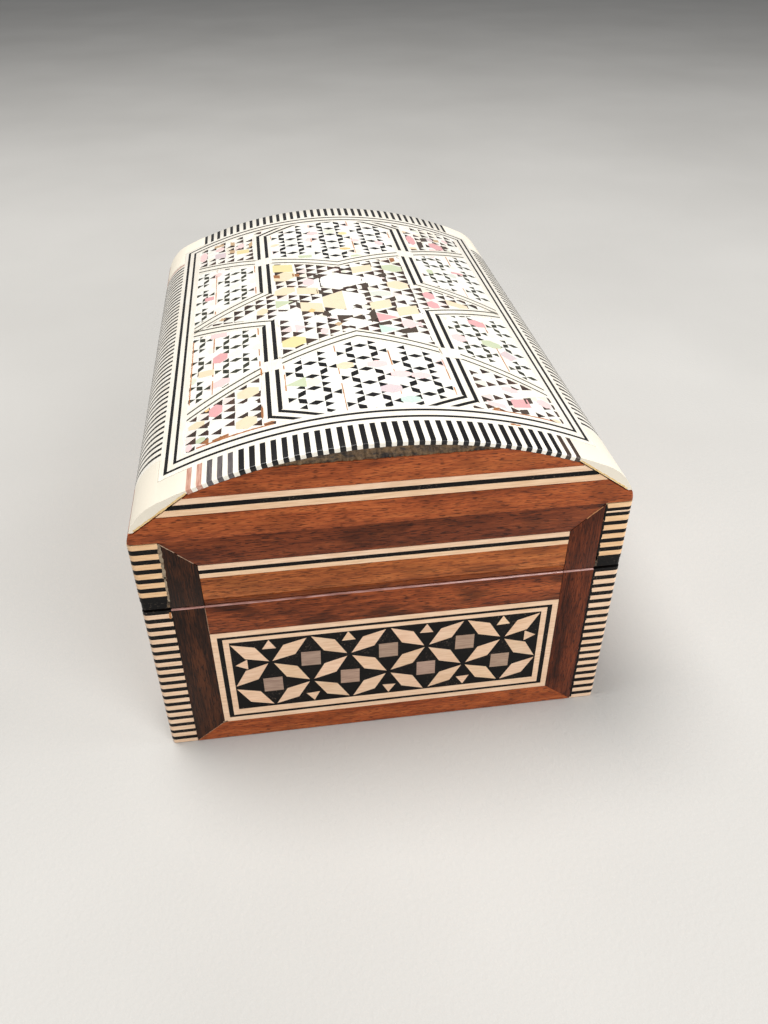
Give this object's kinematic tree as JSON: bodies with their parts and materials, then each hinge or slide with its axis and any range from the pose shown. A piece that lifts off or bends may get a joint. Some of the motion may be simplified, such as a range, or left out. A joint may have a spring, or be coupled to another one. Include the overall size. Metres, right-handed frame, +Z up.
{
  "type": "inlaid trinket box",
  "caption": "Small wooden trinket box with a vaulted lift-off lid, striped corner inlay, wood marquetry walls and a mother-of-pearl mosaic lid.",
  "frame": {"origin": "middle of the underside, on the surface the box stands on", "axes": "+Z up through the lid, +Y along the box from the front end to the back end, +X across the box"},
  "size_m": [0.1, 0.137, 0.077],
  "materials": {
    "carcass_wood": "bare, sanded",
    "mahogany": "lacquered red-brown, fine grain",
    "walnut": "lacquered dark brown, straight grain",
    "striped_inlay": "cream and black stripes, lacquered",
    "mosaic_inlay": "cream and black lattice of small tiles, lacquered",
    "pearl_mosaic": "polished shell tiles with black tiles and white strapwork",
    "bone": "polished bone, yellowed at its edges"
  },
  "bodies": {
    "root": {"base_back_bottom_rail": "mahogany", "base_back_mosaic_panel": "mosaic_inlay", "base_back_stile_left": "walnut", "base_back_stile_right": "walnut", "base_back_top_rail": "mahogany", "base_carcass": "carcass_wood", "base_corner_strip_back_left": "striped_inlay", "base_corner_strip_back_right": "striped_inlay", "base_corner_strip_front_left": "striped_inlay", "base_corner_strip_front_right": "striped_inlay", "base_front_bottom_rail": "mahogany", "base_front_mosaic_panel": "mosaic_inlay", "base_front_stile_left": "walnut", "base_front_stile_right": "walnut", "base_front_top_rail": "mahogany", "base_left_bottom_rail": "mahogany", "base_left_mosaic_panel": "mosaic_inlay", "base_left_stile_left": "walnut", "base_left_stile_right": "walnut", "base_left_top_rail": "mahogany", "base_right_bottom_rail": "mahogany", "base_right_mosaic_panel": "mosaic_inlay", "base_right_stile_left": "walnut", "base_right_stile_right": "walnut", "base_right_top_rail": "mahogany", "bone_corner_back_left": "bone", "bone_corner_back_right": "bone", "bone_corner_front_left": "bone", "bone_corner_front_right": "bone", "lid_back_high_rail": "mahogany", "lid_back_high_stringing": "striped_inlay", "lid_back_low_rail": "mahogany", "lid_back_low_stringing": "striped_inlay", "lid_back_stile_left": "walnut", "lid_back_stile_right": "walnut", "lid_back_tympanum": "mahogany", "lid_border_back": "striped_inlay", "lid_border_front": "striped_inlay", "lid_border_left": "striped_inlay", "lid_border_right": "striped_inlay", "lid_carcass": "carcass_wood", "lid_corner_strip_back_left": "striped_inlay", "lid_corner_strip_back_right": "striped_inlay", "lid_corner_strip_front_left": "striped_inlay", "lid_corner_strip_front_right": "striped_inlay", "lid_front_high_rail": "mahogany", "lid_front_high_stringing": "striped_inlay", "lid_front_low_rail": "mahogany", "lid_front_low_stringing": "striped_inlay", "lid_front_stile_left": "walnut", "lid_front_stile_right": "walnut", "lid_front_tympanum": "mahogany", "lid_left_high_rail": "mahogany", "lid_left_low_rail": "mahogany", "lid_left_stringing": "striped_inlay", "lid_mosaic_sheet": "pearl_mosaic", "lid_right_high_rail": "mahogany", "lid_right_low_rail": "mahogany", "lid_right_stringing": "striped_inlay"}
  },
  "joints": []
}
